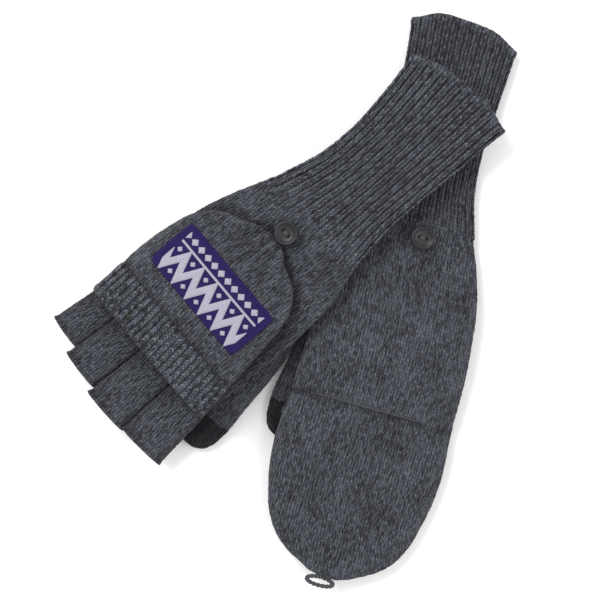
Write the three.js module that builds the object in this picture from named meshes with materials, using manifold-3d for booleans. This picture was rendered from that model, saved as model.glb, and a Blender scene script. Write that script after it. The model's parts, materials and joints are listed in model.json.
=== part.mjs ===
// A pair of convertible flip-top knit mittens lying flat, palms down, the right one on the left one.
// Each mitten is a ribbed cuff, a hand, four open half fingers, a thumb with a conductive tip and a
// flip-top hood with a ribbed band, hinged across the knuckles and held back by a button and loop.
// A mitten is drawn in its own frame: x towards the thumb, y towards the wrist, z up, and the origin
// on the middle of the hood's hinge line. The left mitten is the same pattern, mirrored.
import * as THREE from "three";
import { LoftGeometry } from "three/addons/geometries/LoftGeometry.js";
import { mergeVertices } from "three/addons/utils/BufferGeometryUtils.js";
import Module from "manifold-3d";

const wasm = await Module();
wasm.setup();

// Driving dimensions, in millimetres
const gap = 0.35; // clear space between neighbouring pieces
const handThick = 8.2;
const fabric = 1.3; // one layer of stockinette
const ribFabric = 1.8; // one layer of rib
const handTop = -1.7; // top of the hand below the hinge line
const hoodThick = 11.8;
const hoodTop = -0.35; // top of the closed hood below the hinge line
const bandThick = 1.6;
const cuffThick = 9.4;
const thumbThick = 7.8;
const buttonDiameter = 12.6;
const buttonThick = 2.6;
const loopCord = 2.4;
const cuffStart = 101;
const thumbTipLength = 18;
const buttonSeat = 5.8; // height of the button's underside over the hand
const buttonAlong = 88.3; // the buttoned mitten's button, from the hinge line
const freeButtonAlong = 93.5; // the closed mitten's button
const bandEdge = 16.5; // the band reaches this far from the hinge
const palmLayerReach = 5; // the hood's palm layer reaches this far past the hinge

const charcoal = new THREE.MeshStandardMaterial({ color: 0x4a4a52, roughness: 0.95 });
const black = new THREE.MeshStandardMaterial({ color: 0x25252a, roughness: 0.95 });
const plastic = new THREE.MeshStandardMaterial({ color: 0x2c2d31, roughness: 0.3 });
const thread = new THREE.MeshStandardMaterial({ color: 0x6f7078, roughness: 0.8 });
const indigo = new THREE.MeshStandardMaterial({ color: 0x33206b, roughness: 0.7 });

// A smooth curve through (position, value) stations, as a function of position.
function through(stations) {
  return (at) => {
    const last = stations.length - 1;
    let i = stations.findIndex((s) => s[0] > at) - 1;
    if (i < 0) i = at <= stations[0][0] ? 0 : last - 1;
    const [a, b] = [stations[i], stations[i + 1]];
    const before = stations[Math.max(i - 1, 0)];
    const after = stations[Math.min(i + 2, last)];
    const span = b[0] - a[0];
    const startSlope = (b[1] - before[1]) / (b[0] - before[0]);
    const endSlope = (after[1] - a[1]) / (after[0] - a[0]);
    const t = THREE.MathUtils.clamp((at - a[0]) / span, 0, 1);
    const [t2, t3] = [t * t, t * t * t];
    return (
      (2 * t3 - 3 * t2 + 1) * a[1] +
      (t3 - 2 * t2 + t) * span * startSlope +
      (3 * t2 - 2 * t3) * b[1] +
      (t3 - t2) * span * endSlope
    );
  };
}

// The points of one flat cross-section: a squared-off ellipse, rolled about the mitten's length.
function ring({ x, y, z, half, thick, roll = 0, slant = 0, heading = 0, square = 2.4 }, inset, points) {
  const made = [];
  for (let i = 0; i < points; i++) {
    const angle = ((i + 0.5) / points) * 2 * Math.PI;
    const c = Math.cos(angle);
    const s = Math.sin(angle);
    const across = Math.sign(c) * Math.abs(c) ** (2 / square) * (half - inset);
    const up = Math.sign(s) * Math.abs(s) ** (2 / square) * (thick / 2 - inset);
    const rolledAcross = across * Math.cos(roll) + up * Math.sin(roll);
    const rolledUp = up * Math.cos(roll) - across * Math.sin(roll);
    const point = new THREE.Vector3(rolledAcross, (slant * across) / half, rolledUp);
    point.applyAxisAngle(new THREE.Vector3(0, 0, 1), heading);
    made.push(point.add(new THREE.Vector3(x, y, z)));
  }
  return made;
}

// A knitted tube open at both ends: out along the outside, back along the inside.
function tube(sections, wall, points = 24) {
  const outer = sections.map((s) => ring(s, 0, points));
  const inner = sections.map((s) => ring(s, wall, points)).reverse();
  return closed(new LoftGeometry([...outer, ...inner, outer[0]]));
}

// A knitted pocket open at its last section. Its outside and its inside each close on a point.
function pocket(sections, wall, points = 24) {
  const outer = sections.map((s) => ring(s, 0, points));
  const inner = sections.slice(1).map((s) => ring(s, wall, points)).reverse();
  const tip = centre(outer[0]);
  const bottom = centre(inner[inner.length - 1]);
  const rings = [Array(points).fill(tip), ...outer, ...inner, Array(points).fill(bottom)];
  return closed(new LoftGeometry(rings));
}

function centre(points) {
  return points.reduce((sum, p) => sum.add(p), new THREE.Vector3()).divideScalar(points.length);
}

// The surface with its shared vertices merged, its collapsed faces dropped and the rest facing out.
function closed(geometry) {
  const bare = new THREE.BufferGeometry();
  bare.setAttribute("position", geometry.attributes.position);
  bare.setIndex(geometry.index);
  const merged = mergeVertices(bare, 1e-3);
  const faces = [];
  const index = merged.index.array;
  for (let i = 0; i < index.length; i += 3) {
    const [a, b, c] = index.slice(i, i + 3);
    if (a !== b && b !== c && c !== a) faces.push(a, b, c);
  }
  merged.setIndex(faces);
  if (solid(merged).volume() < 0) merged.setIndex(faces.reverse());
  return merged;
}

function solid(geometry) {
  const mesh = new wasm.Mesh({
    numProp: 3,
    vertProperties: geometry.attributes.position.array,
    triVerts: new Uint32Array(geometry.index.array),
  });
  return new wasm.Manifold(mesh);
}

function geometryOf(made) {
  const mesh = made.getMesh();
  const geometry = new THREE.BufferGeometry();
  geometry.setAttribute("position", new THREE.BufferAttribute(mesh.vertProperties, 3));
  geometry.setIndex(new THREE.BufferAttribute(mesh.triVerts, 1));
  return geometry;
}

function named(name, geometry, material) {
  const mesh = new THREE.Mesh(geometry, material);
  mesh.name = name;
  return mesh;
}

function range(from, to, steps) {
  return Array.from({ length: steps + 1 }, (_, i) => from + ((to - from) * i) / steps);
}

// Edges of the hand and the cuff, towards the little finger and towards the thumb.
const handLow = through([[0, -43], [25, -43], [47, -41], [65, -38.5], [85, -33], [101, -27], [128, -20.5]]);
const handHigh = through([[0, 43], [25, 43], [47, 44], [65, 43.5], [85, 41], [101, 35.5], [128, 31]]);

// How each mitten lies: where its hinge line is, how it is turned and tilted, and how it sags.
const right = {
  side: "right",
  hinge: [-67.7, -26.3, 19.8],
  turn: THREE.MathUtils.degToRad(-49.5),
  pitch: THREE.MathUtils.degToRad(6.1),
  roll: THREE.MathUtils.degToRad(3.1),
  mouth: 205,
  mouthSlant: 5,
  cuffLow: through([[101, -27], [128, -20.5], [150, -21], [175, -24.5], [205, -31]]),
  cuffHigh: through([[101, 35.5], [128, 31], [150, 30.5], [175, 30.5], [205, 31]]),
  sag: through([[85, 0], [101, -1], [125, -4.6], [150, -10.4], [175, -15.6], [205, -18.9]]),
  level: through([[85, 0], [110, 0.25], [150, 0.9], [170, 1], [205, 1]]),
  thumb: { from: [35, 46], to: [49, -22] },
  fingerSpread: 1,
  fingerRoll: THREE.MathUtils.degToRad(7),
  hoodSquare: 2.8,
  folded: true,
};
const left = {
  side: "left",
  hinge: [42.5, -60.9, 16.6],
  turn: THREE.MathUtils.degToRad(-16.15),
  pitch: THREE.MathUtils.degToRad(2.5),
  roll: THREE.MathUtils.degToRad(4.4),
  mouth: 207.5,
  mouthSlant: 1.2,
  cuffLow: through([[101, -28], [121, -22], [143, -20], [176, -21], [207.5, -22.6]]),
  cuffHigh: through([[101, 35.5], [128, 31.5], [150, 31], [176, 32], [207.5, 36]]),
  sag: through([[45, 0], [60, -1.4], [80, -6], [101, -10.3], [115, -11.2], [160, -13.2], [207.5, -15.3]]),
  level: through([[45, 0], [60, 0.15], [85, 0.75], [101, 1], [207, 1]]),
  thumb: { from: [31.5, 50], to: [43, -26] },
  fingerSpread: 0.8,
  fingerRoll: THREE.MathUtils.degToRad(1.5),
  hoodSquare: 3.1,
  folded: false,
};

const handCentre = handTop - handThick / 2;

function handSections(lie, stations, low, high, thick) {
  return stations.map((y) => ({
    x: (low(y) + high(y)) / 2,
    y,
    z: handCentre + lie.sag(y),
    half: (high(y) - low(y)) / 2,
    thick,
    roll: lie.roll * lie.level(y),
    slant: THREE.MathUtils.smoothstep(y, 150, lie.mouth) * lie.mouthSlant,
  }));
}

function hand(lie) {
  const stations = [1.2, 25, 47, 65, 85, cuffStart - gap];
  return tube(handSections(lie, stations, handLow, handHigh, handThick), fabric);
}

function cuff(lie) {
  const stations = range(cuffStart, lie.mouth, 7);
  return tube(handSections(lie, stations, lie.cuffLow, lie.cuffHigh, cuffThick), ribFabric);
}

// Half fingers: the edges they share at the knuckles, and the middle of each open end.
const fingers = [
  { name: "little_finger", low: -42.6, high: -24.5, end: [-37, -34], thick: 6.6 },
  { name: "ring_finger", low: -24.5, high: -4, end: [-17, -40.7], thick: 7.4 },
  { name: "middle_finger", low: -4, high: 18.5, end: [7.5, -44.5], thick: 7.6 },
  { name: "index_finger", low: 18.5, high: 42.6, end: [33.5, -42], thick: 7 },
];

function finger({ low, high, end: [endX, endY], thick }, { fingerSpread: spread, fingerRoll }) {
  const base = ((low + high) / 2) * (0.7 + 0.3 * spread);
  const reach = endX * spread - base;
  const heading = Math.atan2(reach, -endY);
  const half = ((high - low) / 2) * (0.7 + 0.3 * spread) - gap / 2;
  const sections = range(0, 1, 3).map((t) => ({
    x: base + reach * t,
    y: -1.2 + (endY + 1.2) * t,
    z: hoodTop - hoodThick / 2,
    half: half - 1.3 * t,
    thick,
    roll: fingerRoll * Math.min(1, 2 * t),
    heading: heading * Math.min(1, 2 * t),
    square: 2.1,
  }));
  return tube(sections, 1.1, 16);
}

// Half width of the hood along its length, from the hinge to its tip: closed, and folded back where
// the loop pulls the tip to a point at the button.
const closedHood = through([
  [0, 44.5], [35, 44], [50, 41.5], [65, 37], [74, 31], [80, 24], [84.5, 15.5], [88, 7],
]);
const foldedHood = through([
  [0, 42.6], [31, 40.5], [47, 38.5], [58, 36.3], [65, 33], [72, 26], [78, 13], [81.5, 4],
]);

// The hood lies flipped about the hinge when it is folded, so the pouch closes round the fingers.
function hoodSections(lie) {
  const sign = lie.folded ? 1 : -1;
  const half = lie.folded ? foldedHood : closedHood;
  const tip = lie.folded ? 81.5 : 88;
  const stations = [tip, tip - 3, tip - 9, tip - 18, tip - 32, tip - 52, bandEdge];
  const thickness = through([[0, hoodThick], [48, hoodThick], [64, 9.5], [74, 6.4], [tip, 3.4]]);
  return stations.map((y) => ({
    x: lie.folded ? -2.3 * Math.min(1, y / 30) : -2 * (y / tip) ** 2,
    y: sign * y,
    z: sign * (-hoodTop + thickness(y) / 2),
    half: half(y),
    thick: thickness(y),
    square: lie.hoodSquare,
  }));
}

function hood(lie) {
  return pocket(hoodSections(lie), fabric);
}

// The ribbed band is the open edge of the hood.
function band(lie) {
  const sign = lie.folded ? 1 : -1;
  const half = lie.folded ? foldedHood : closedHood;
  const sections = [-palmLayerReach, 4, bandEdge - gap].map((y) => ({
    x: lie.folded ? -2.3 * THREE.MathUtils.clamp(y / 30, 0, 1) : 0,
    y: sign * y,
    z: sign * (-hoodTop + hoodThick / 2),
    half: half(Math.max(y, 0)) + 0.3,
    thick: hoodThick,
    square: lie.hoodSquare,
  }));
  const whole = solid(tube(sections, bandThick));
  // Past the hinge only the palm layer goes on: the back layer is sewn to the knuckles.
  const [width, length, height] = [100, palmLayerReach + 4, hoodThick + 4];
  const backLayer = new THREE.BoxGeometry(width, length, height);
  const palmLayerSide = -hoodTop + hoodThick / 2 + 1;
  backLayer.translate(0, sign * (1.5 - length / 2), sign * (palmLayerSide - height / 2));
  return geometryOf(whole.subtract(solid(closed(backLayer))));
}

// The thumb lies on the surface beneath the palm, and its knitted tip is a second yarn.
function thumbSections(lie, from, to) {
  const start = new THREE.Vector2(...lie.thumb.from);
  const end = new THREE.Vector2(...lie.thumb.to);
  const length = start.distanceTo(end);
  const heading = Math.atan2(end.x - start.x, start.y - end.y);
  const half = through([
    [0, 12.6], [8, 12.6], [40, 12.4],
    [length - 14, 11.8], [length - 6, 9.6], [length - 1.5, 6], [length, 3],
  ]);
  const thick = through([[0, thumbThick], [length - 12, thumbThick], [length - 4, 6.4], [length, 3.4]]);
  const tipStations = [0, 3, 8, 13, thumbTipLength].map((d) => length - d);
  const stations = to === undefined ? tipStations : range(from, length - to, 4);
  return stations.map((d) => {
    const at = start.clone().lerp(end, d / length);
    return { x: at.x, y: at.y, z: 0, half: half(d), thick: thick(d), heading, square: 2.2 };
  });
}

function thumb(lie) {
  return tube(thumbSections(lie, 0, thumbTipLength + gap), fabric, 16);
}

function thumbTip(lie) {
  return pocket(thumbSections(lie), fabric, 16);
}

// A button with a raised rim and two holes, and the thread shank that holds it off the knit.
function button() {
  const r = buttonDiameter / 2;
  const outline = [
    [0, 0], [r - 1.6, 0], [r - 0.3, 0.7], [r, 1.4], [r - 0.3, 2.2], [r - 1.1, buttonThick],
    [r - 2, 2.3], [r - 2.7, 1.7], [0, 1.6],
  ].map(([x, y]) => new THREE.Vector2(x, y));
  let made = solid(closed(new THREE.LatheGeometry(outline, 28).rotateX(Math.PI / 2)));
  for (const side of [-1, 1]) {
    const hole = new THREE.CylinderGeometry(0.85, 0.85, 8, 12).rotateX(Math.PI / 2);
    made = made.subtract(solid(closed(hole.translate(1.7 * side, 0, 1))));
  }
  return geometryOf(made);
}

function buttonThread() {
  const pieces = [];
  const shank = new THREE.CylinderGeometry(0.9, 1.2, buttonSeat - 0.4 - gap, 12).rotateX(Math.PI / 2);
  pieces.push(shank.translate(0, 0, -(buttonSeat - 0.4 - gap) / 2 - gap));
  for (const side of [-1, 1]) {
    const strand = new THREE.CylinderGeometry(0.5, 0.5, 3.4, 8).rotateX(Math.PI / 2);
    pieces.push(strand.translate(1.7 * side, 0, 0.9));
  }
  pieces.push(new THREE.BoxGeometry(4.4, 1, 0.6).translate(0, 0, 2.3));
  pieces.push(new THREE.BoxGeometry(4.4, 1, 0.6).translate(0, 0, -gap - 0.3));
  return geometryOf(pieces.map((piece) => solid(closed(piece))).reduce((a, b) => a.add(b)));
}

// The yarn loop at the hood's tip. It goes round the button's shank when the hood is folded back.
function loop(lie) {
  const [x, y] = lie.folded ? [0, 87.6] : [1.5, -91.4];
  const z = lie.folded ? 2.1 : hoodTop - 1.7;
  const wide = lie.folded ? 3.4 : 7;
  const long = lie.folded ? 3.4 : 2.2;
  const sections = range(0, 2 * Math.PI, 20).map((turn) => {
    const heading = Math.atan2(-long * Math.sin(turn), wide * Math.cos(turn)) - Math.PI / 2;
    const at = { x: x + wide * Math.sin(turn), y: y + long * Math.cos(turn), z };
    return ring({ ...at, half: loopCord / 2, thick: loopCord, heading, square: 2 }, 0, 8);
  });
  return closed(new LoftGeometry(sections));
}

// A chain-stitched seam across the knuckles, where the hood's back layer is sewn on.
function seam() {
  const over = (x) => new THREE.Vector3(x, 3.4, handTop + 0.72 - 0.0007 * x * x);
  const extrudePath = new THREE.CatmullRomCurve3(range(-38, 38, 8).map(over));
  const section = new THREE.Shape().absarc(0, 0, 0.55, 0, 2 * Math.PI);
  const settings = { steps: 24, curveSegments: 4, extrudePath, bevelEnabled: false };
  return closed(new THREE.ExtrudeGeometry(section, settings));
}

// The embroidered patch on the folded hood.
function emblem() {
  const patch = new THREE.Shape();
  const [w, h, r] = [32, 14, 3];
  patch.moveTo(-w + r, -h).lineTo(w - r, -h).absarc(w - r, -h + r, r, -Math.PI / 2, 0);
  patch.lineTo(w, h - r).absarc(w - r, h - r, r, 0, Math.PI / 2);
  patch.lineTo(-w + r, h).absarc(-w + r, h - r, r, Math.PI / 2, Math.PI);
  patch.lineTo(-w, -h + r).absarc(-w + r, -h + r, r, Math.PI, 1.5 * Math.PI);
  return new THREE.ExtrudeGeometry(patch, { depth: 0.8, curveSegments: 4, bevelEnabled: false });
}

// One mitten as a tilted group inside a placed group, with the thumb flat below it.
function mitten(lie) {
  const { side } = lie;
  const placed = new THREE.Group();
  placed.position.set(...lie.hinge);
  placed.rotation.z = lie.turn;
  placed.scale.x = side === "left" ? -1 : 1;
  const tilted = new THREE.Group();
  tilted.rotation.set(lie.pitch, -lie.roll, 0);
  placed.add(tilted);

  tilted.add(named(`${side}_hand`, hand(lie), charcoal));
  tilted.add(named(`${side}_cuff`, cuff(lie), charcoal));
  for (const one of fingers) tilted.add(named(`${side}_${one.name}`, finger(one, lie), charcoal));
  tilted.add(named(`${side}_hood`, hood(lie), charcoal));
  tilted.add(named(`${side}_hood_band`, band(lie), charcoal));
  tilted.add(named(`${side}_hood_loop`, loop(lie), charcoal));
  tilted.add(named(`${side}_hood_seam`, seam(), charcoal));

  const fastening = new THREE.Group();
  const buttonAt = lie.folded ? buttonAlong : freeButtonAlong;
  fastening.position.set(0, buttonAt, handTop + lie.sag(buttonAt) + buttonSeat + gap);
  fastening.add(named(`${side}_button`, button(), plastic));
  fastening.add(named(`${side}_button_thread`, buttonThread(), thread));
  tilted.add(fastening);

  if (lie.folded) {
    const patch = named(`${side}_emblem`, emblem(), indigo);
    patch.position.set(-2.5, 42.5, -hoodTop + hoodThick + gap);
    tilted.add(patch);
  }

  const thumbGroup = new THREE.Group();
  thumbGroup.position.z = -lie.hinge[2] + thumbThick / 2;
  thumbGroup.add(named(`${side}_thumb`, thumb(lie), charcoal));
  thumbGroup.add(named(`${side}_thumb_tip`, thumbTip(lie), black));
  placed.add(thumbGroup);
  return placed;
}

const group = new THREE.Group();
group.add(mitten(left), mitten(right));

// Stand the pair on z = 0 with the origin under the middle of its box.
group.updateMatrixWorld(true);
const box = new THREE.Box3().setFromObject(group, true);
const middle = box.getCenter(new THREE.Vector3());
group.children.forEach((one) => {
  one.position.x -= middle.x;
  one.position.y -= middle.y;
  one.position.z -= box.min.z;
});

export default group;
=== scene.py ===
# %% [markdown]
# # A pair of convertible flip-top mittens
#
# The pair lies flat, palms down, the right mitten on the left one. The right mitten's hood is folded
# back and buttoned, so four half fingers show; the left mitten's hood is closed over its fingers.
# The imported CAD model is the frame: every knitted piece below is rebuilt, finely, in the same place.

# %% Load the frame
import json
import math

import bmesh
import bpy
import numpy as np
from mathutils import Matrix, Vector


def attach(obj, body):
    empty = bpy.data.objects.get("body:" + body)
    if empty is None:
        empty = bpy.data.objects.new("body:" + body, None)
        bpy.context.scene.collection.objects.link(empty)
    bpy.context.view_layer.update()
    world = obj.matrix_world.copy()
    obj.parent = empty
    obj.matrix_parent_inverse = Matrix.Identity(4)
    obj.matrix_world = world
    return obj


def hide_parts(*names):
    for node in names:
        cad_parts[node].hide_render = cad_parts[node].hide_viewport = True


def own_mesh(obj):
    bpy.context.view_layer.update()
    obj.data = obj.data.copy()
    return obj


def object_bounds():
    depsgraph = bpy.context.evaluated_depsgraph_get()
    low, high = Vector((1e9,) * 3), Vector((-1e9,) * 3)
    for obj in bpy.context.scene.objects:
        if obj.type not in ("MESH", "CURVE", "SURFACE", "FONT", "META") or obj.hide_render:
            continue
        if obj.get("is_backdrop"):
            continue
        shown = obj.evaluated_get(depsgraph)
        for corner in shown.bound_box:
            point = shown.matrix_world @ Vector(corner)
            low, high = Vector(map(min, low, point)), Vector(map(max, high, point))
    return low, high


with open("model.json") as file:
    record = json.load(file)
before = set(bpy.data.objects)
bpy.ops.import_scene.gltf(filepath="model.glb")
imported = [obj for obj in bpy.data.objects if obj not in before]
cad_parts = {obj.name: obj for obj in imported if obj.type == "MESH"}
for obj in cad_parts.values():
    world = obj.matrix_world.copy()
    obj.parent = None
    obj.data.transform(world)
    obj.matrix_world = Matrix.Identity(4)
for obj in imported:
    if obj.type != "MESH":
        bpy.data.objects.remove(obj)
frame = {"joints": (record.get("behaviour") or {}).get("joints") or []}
cad_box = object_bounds()
MM = 0.001
joints = {joint["name"]: joint for joint in frame["joints"]}
print("joints:", sorted(joints))

# %% [markdown]
# ## Camera, light and floor
#
# The camera looks straight down through a long lens, so both mittens keep their true proportions. A
# large soft lamp on one side draws the ribs and stitches, and a pale surround keeps the shadows open.

# %% Camera
VIEW_WIDTH = 0.306
LENS = 85
SENSOR = 36
camera_data = bpy.data.cameras.new("camera")
camera_data.lens = LENS
camera_data.sensor_width = SENSOR
camera = bpy.data.objects.new("camera", camera_data)
bpy.context.scene.collection.objects.link(camera)
VIEW_MIDDLE, PILE_MIDDLE = (0.0058, -0.0021), 0.02
camera.location = (*VIEW_MIDDLE, PILE_MIDDLE + VIEW_WIDTH * LENS / SENSOR)
bpy.context.scene.camera = camera
print("camera height", round(camera.location.z, 3))


# %% Lamps and surround
def lamp(name, place, size, power):
    data = bpy.data.lights.new(name, "AREA")
    data.size = size
    data.energy = power
    one = bpy.data.objects.new(name, data)
    one.location = place
    direction = -one.location
    one.rotation_euler = direction.to_track_quat("-Z", "Y").to_euler()
    bpy.context.scene.collection.objects.link(one)


lamp("key", (-0.65, 0.65, 1.1), 0.6, 15)
lamp("fill", (0.9, -0.3, 1.2), 1.0, 8)
world = bpy.data.worlds.new("surround")
world.use_nodes = True
world.node_tree.nodes["Background"].inputs["Color"].default_value = (1, 1, 1, 1)
world.node_tree.nodes["Background"].inputs["Strength"].default_value = 0.84
bpy.context.scene.world = world
bpy.context.scene.view_settings.view_transform = "Standard"
print("lamps:", len(bpy.data.lights))

# %% Floor
REACH, DROP = 3, 0.0005
floor_mesh = bpy.data.meshes.new("floor")
floor_corners = ((-REACH, -REACH), (REACH, -REACH), (REACH, REACH), (-REACH, REACH))
floor_mesh.from_pydata([(x, y, -DROP) for x, y in floor_corners], [], [(0, 1, 2, 3)])
floor = bpy.data.objects.new("floor", floor_mesh)
bpy.context.scene.collection.objects.link(floor)
floor_paint = bpy.data.materials.new("floor_paint")
floor_paint.use_nodes = True
floor_shader = floor_paint.node_tree.nodes["Principled BSDF"]
floor_shader.inputs["Base Color"].default_value = (0.93, 0.93, 0.93, 1)
floor_shader.inputs["Roughness"].default_value = 0.9
floor_mesh.materials.append(floor_paint)
floor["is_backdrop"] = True
print("floor", 2 * REACH, "m wide,", DROP, "m under the mittens")


# %% [markdown]
# ## The stitch as a shader group
#
# Stockinette is rows of V-shaped stitches. Each column of Vs is a wale and each row is a course. The
# group works in millimetres of knit, read from a UV map, so one stitch is the same size on every
# piece. Across a wale there are two legs, and along it the legs slant, so the rows look like Vs.

# %% Node helpers
def group(name, inputs, outputs):
    tree = bpy.data.node_groups.new(name, "ShaderNodeTree")
    for label, kind, value in inputs:
        socket = tree.interface.new_socket(label, in_out="INPUT", socket_type=kind)
        if value is not None:
            socket.default_value = value
    for label, kind in outputs:
        tree.interface.new_socket(label, in_out="OUTPUT", socket_type=kind)
    return tree, tree.nodes.new("NodeGroupInput"), tree.nodes.new("NodeGroupOutput")


def plug(tree, socket, value):
    if isinstance(value, bpy.types.NodeSocket):
        tree.links.new(value, socket)
    else:
        socket.default_value = value


def calc(tree, operation, *values):
    node = tree.nodes.new("ShaderNodeMath")
    node.operation = operation
    for socket, value in zip(node.inputs, values):
        plug(tree, socket, value)
    return node.outputs[0]


def blend_colour(tree, factor, first, second, kind="MIX"):
    node = tree.nodes.new("ShaderNodeMix")
    node.data_type = "RGBA"
    node.blend_type = kind
    plug(tree, node.inputs["Factor"], factor)
    plug(tree, node.inputs["A"], first)
    plug(tree, node.inputs["B"], second)
    return node.outputs["Result"]


def noise(tree, place, scale, detail=2.0):
    node = tree.nodes.new("ShaderNodeTexNoise")
    plug(tree, node.inputs["Vector"], place)
    node.inputs["Scale"].default_value = scale
    node.inputs["Detail"].default_value = detail
    return node.outputs["Fac"]


print("node helpers: group, plug, calc, blend_colour, noise")


# %% The stitch group
def make_stitch_group():
    number = "NodeSocketFloat"
    inputs = [
        ("Place", "NodeSocketVector", None),
        ("Wale Width", number, 1.6),
        ("Course Height", number, 1.9),
        ("Slant", number, 0.9),
    ]
    outputs = [("Height", number), ("Stitch Random", number)]
    tree, given, result = group("knit_stitch", inputs, outputs)
    split = tree.nodes.new("ShaderNodeSeparateXYZ")
    tree.links.new(given.outputs["Place"], split.inputs[0])
    wale = calc(tree, "DIVIDE", split.outputs["X"], given.outputs["Wale Width"])
    course = calc(tree, "DIVIDE", split.outputs["Y"], given.outputs["Course Height"])
    # Across is 0 in the middle of a wale and 1 at its edges, where the knit sinks back.
    across = calc(tree, "ABSOLUTE", calc(tree, "MULTIPLY_ADD", calc(tree, "FRACT", wale), 2.0, -1.0))
    gap = calc(tree, "MULTIPLY_ADD", calc(tree, "POWER", across, 2.5), -0.8, 1.0)
    parting = calc(tree, "MULTIPLY", across, calc(tree, "SUBTRACT", 1.0, across))
    leg = calc(tree, "MULTIPLY", gap, calc(tree, "MULTIPLY_ADD", parting, 2.2, 0.6))
    # The slant shifts each course along the leg, which turns rows of blocks into rows of Vs.
    phase = calc(tree, "MULTIPLY_ADD", across, given.outputs["Slant"], course)
    along = calc(tree, "FRACT", phase)
    strand = calc(tree, "MULTIPLY", calc(tree, "MULTIPLY", along, 4.0), calc(tree, "SUBTRACT", 1.0, along))
    strand = calc(tree, "MULTIPLY_ADD", calc(tree, "POWER", strand, 0.9), 0.85, 0.15)
    height = calc(tree, "MULTIPLY", leg, strand)
    tree.links.new(height, result.inputs["Height"])
    # Each leg of each stitch gets a random number of its own.
    cell = tree.nodes.new("ShaderNodeCombineXYZ")
    tree.links.new(calc(tree, "FLOOR", calc(tree, "MULTIPLY", wale, 2.0)), cell.inputs["X"])
    tree.links.new(calc(tree, "FLOOR", phase), cell.inputs["Y"])
    dice = tree.nodes.new("ShaderNodeTexWhiteNoise")
    dice.noise_dimensions = "2D"
    tree.links.new(cell.outputs[0], dice.inputs["Vector"])
    tree.links.new(dice.outputs["Value"], result.inputs["Stitch Random"])
    return tree


stitch_group = make_stitch_group()
print("shader group:", stitch_group.name)


# %% [markdown]
# ## Heathered yarn
#
# The yarn is spun from pale, dark and coloured fibres, so every stitch has its own grey. A flat grey
# with bump would look like rubber, so the group sets the grey three ways: by stitch, by clumps a
# millimetre wide, and by single fibres. A slow noise leans it towards blue or towards olive. The
# bottom of each stitch and every hollow between ribs is darker, because light hardly gets there.

# %% The heather group
def make_heather_group():
    number, colour = "NodeSocketFloat", "NodeSocketColor"
    inputs = [
        ("Place", "NodeSocketVector", None),
        ("Stitch Random", number, 0.5),
        ("Height", number, 1.0),
        ("Hollow", number, 0.0),
        ("Dark", colour, (0.02, 0.02, 0.02, 1)),
        ("Light", colour, (0.3, 0.3, 0.3, 1)),
    ]
    tree, given, result = group("heather_yarn", inputs, [("Color", colour)])
    place = given.outputs["Place"]
    drawn = tree.nodes.new("ShaderNodeVectorMath")
    drawn.operation = "MULTIPLY"
    tree.links.new(place, drawn.inputs[0])
    drawn.inputs[1].default_value = (1.5, 0.85, 1)
    strands = drawn.outputs[0]
    grey = calc(tree, "MULTIPLY_ADD", given.outputs["Stitch Random"], 0.42, -1.0)
    # Clumps, strands, single fibres, and a slow drift over the whole piece.
    layers = ((place, 0.5, 0.4), (strands, 1.3, 0.6), (strands, 4.0, 0.95), (place, 0.05, 0.35))
    for where, scale, weight in layers:
        grey = calc(tree, "MULTIPLY_ADD", noise(tree, where, scale), weight, grey)
    grey = calc(tree, "POWER", calc(tree, "MAXIMUM", grey, 0.0), 1.35)
    base = blend_colour(tree, grey, given.outputs["Dark"], given.outputs["Light"])
    lean = calc(tree, "MULTIPLY_ADD", noise(tree, strands, 0.6), 3.0, -1.0)
    tint = blend_colour(tree, lean, (1.05, 1.03, 0.9, 1), (0.93, 0.95, 1.13, 1))
    base = blend_colour(tree, 1.0, base, tint, "MULTIPLY")
    depth = calc(tree, "MULTIPLY_ADD", given.outputs["Height"], 0.85, 0.15)
    open_part = calc(tree, "MULTIPLY_ADD", given.outputs["Hollow"], -0.72, 1.0)
    shade = calc(tree, "MULTIPLY", depth, open_part)
    light = tree.nodes.new("ShaderNodeCombineColor")
    for channel in ("Red", "Green", "Blue"):
        tree.links.new(shade, light.inputs[channel])
    shaded = blend_colour(tree, 1.0, base, light.outputs[0], "MULTIPLY")
    tree.links.new(shaded, result.inputs["Color"])
    return tree


heather_group = make_heather_group()
print("shader group:", heather_group.name)

# %% [markdown]
# ## Knit materials
#
# Two yarns are used: heathered charcoal for the mittens, and a black conductive yarn for the thumb
# tips. Wool scatters light and hardly shines, so roughness is high, with a faint sheen for its fuzz.

# %% Material helpers
def new_material(name, roughness):
    material = bpy.data.materials.new(name)
    material.use_nodes = True
    shader = material.node_tree.nodes["Principled BSDF"]
    shader.inputs["Roughness"].default_value = roughness
    return material, material.node_tree, shader


def place_group(tree, which, **values):
    node = tree.nodes.new("ShaderNodeGroup")
    node.node_tree = which
    for label, value in values.items():
        plug(tree, node.inputs[label.replace("_", " ")], value)
    return node


def bump(tree, shader, height, strength, distance):
    node = tree.nodes.new("ShaderNodeBump")
    node.inputs["Strength"].default_value = strength
    node.inputs["Distance"].default_value = distance
    tree.links.new(height, node.inputs["Height"])
    tree.links.new(node.outputs[0], shader.inputs["Normal"])


def painted_shade_of(tree):
    """The painted shade stored on each point by the mesh code as it makes the shape: in valleys, and where
    other pieces shade it.
    """
    node = tree.nodes.new("ShaderNodeAttribute")
    node.attribute_name = "painted_shade"
    return node.outputs["Fac"]


print("material helpers: new_material, place_group, bump, painted_shade_of")


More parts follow.
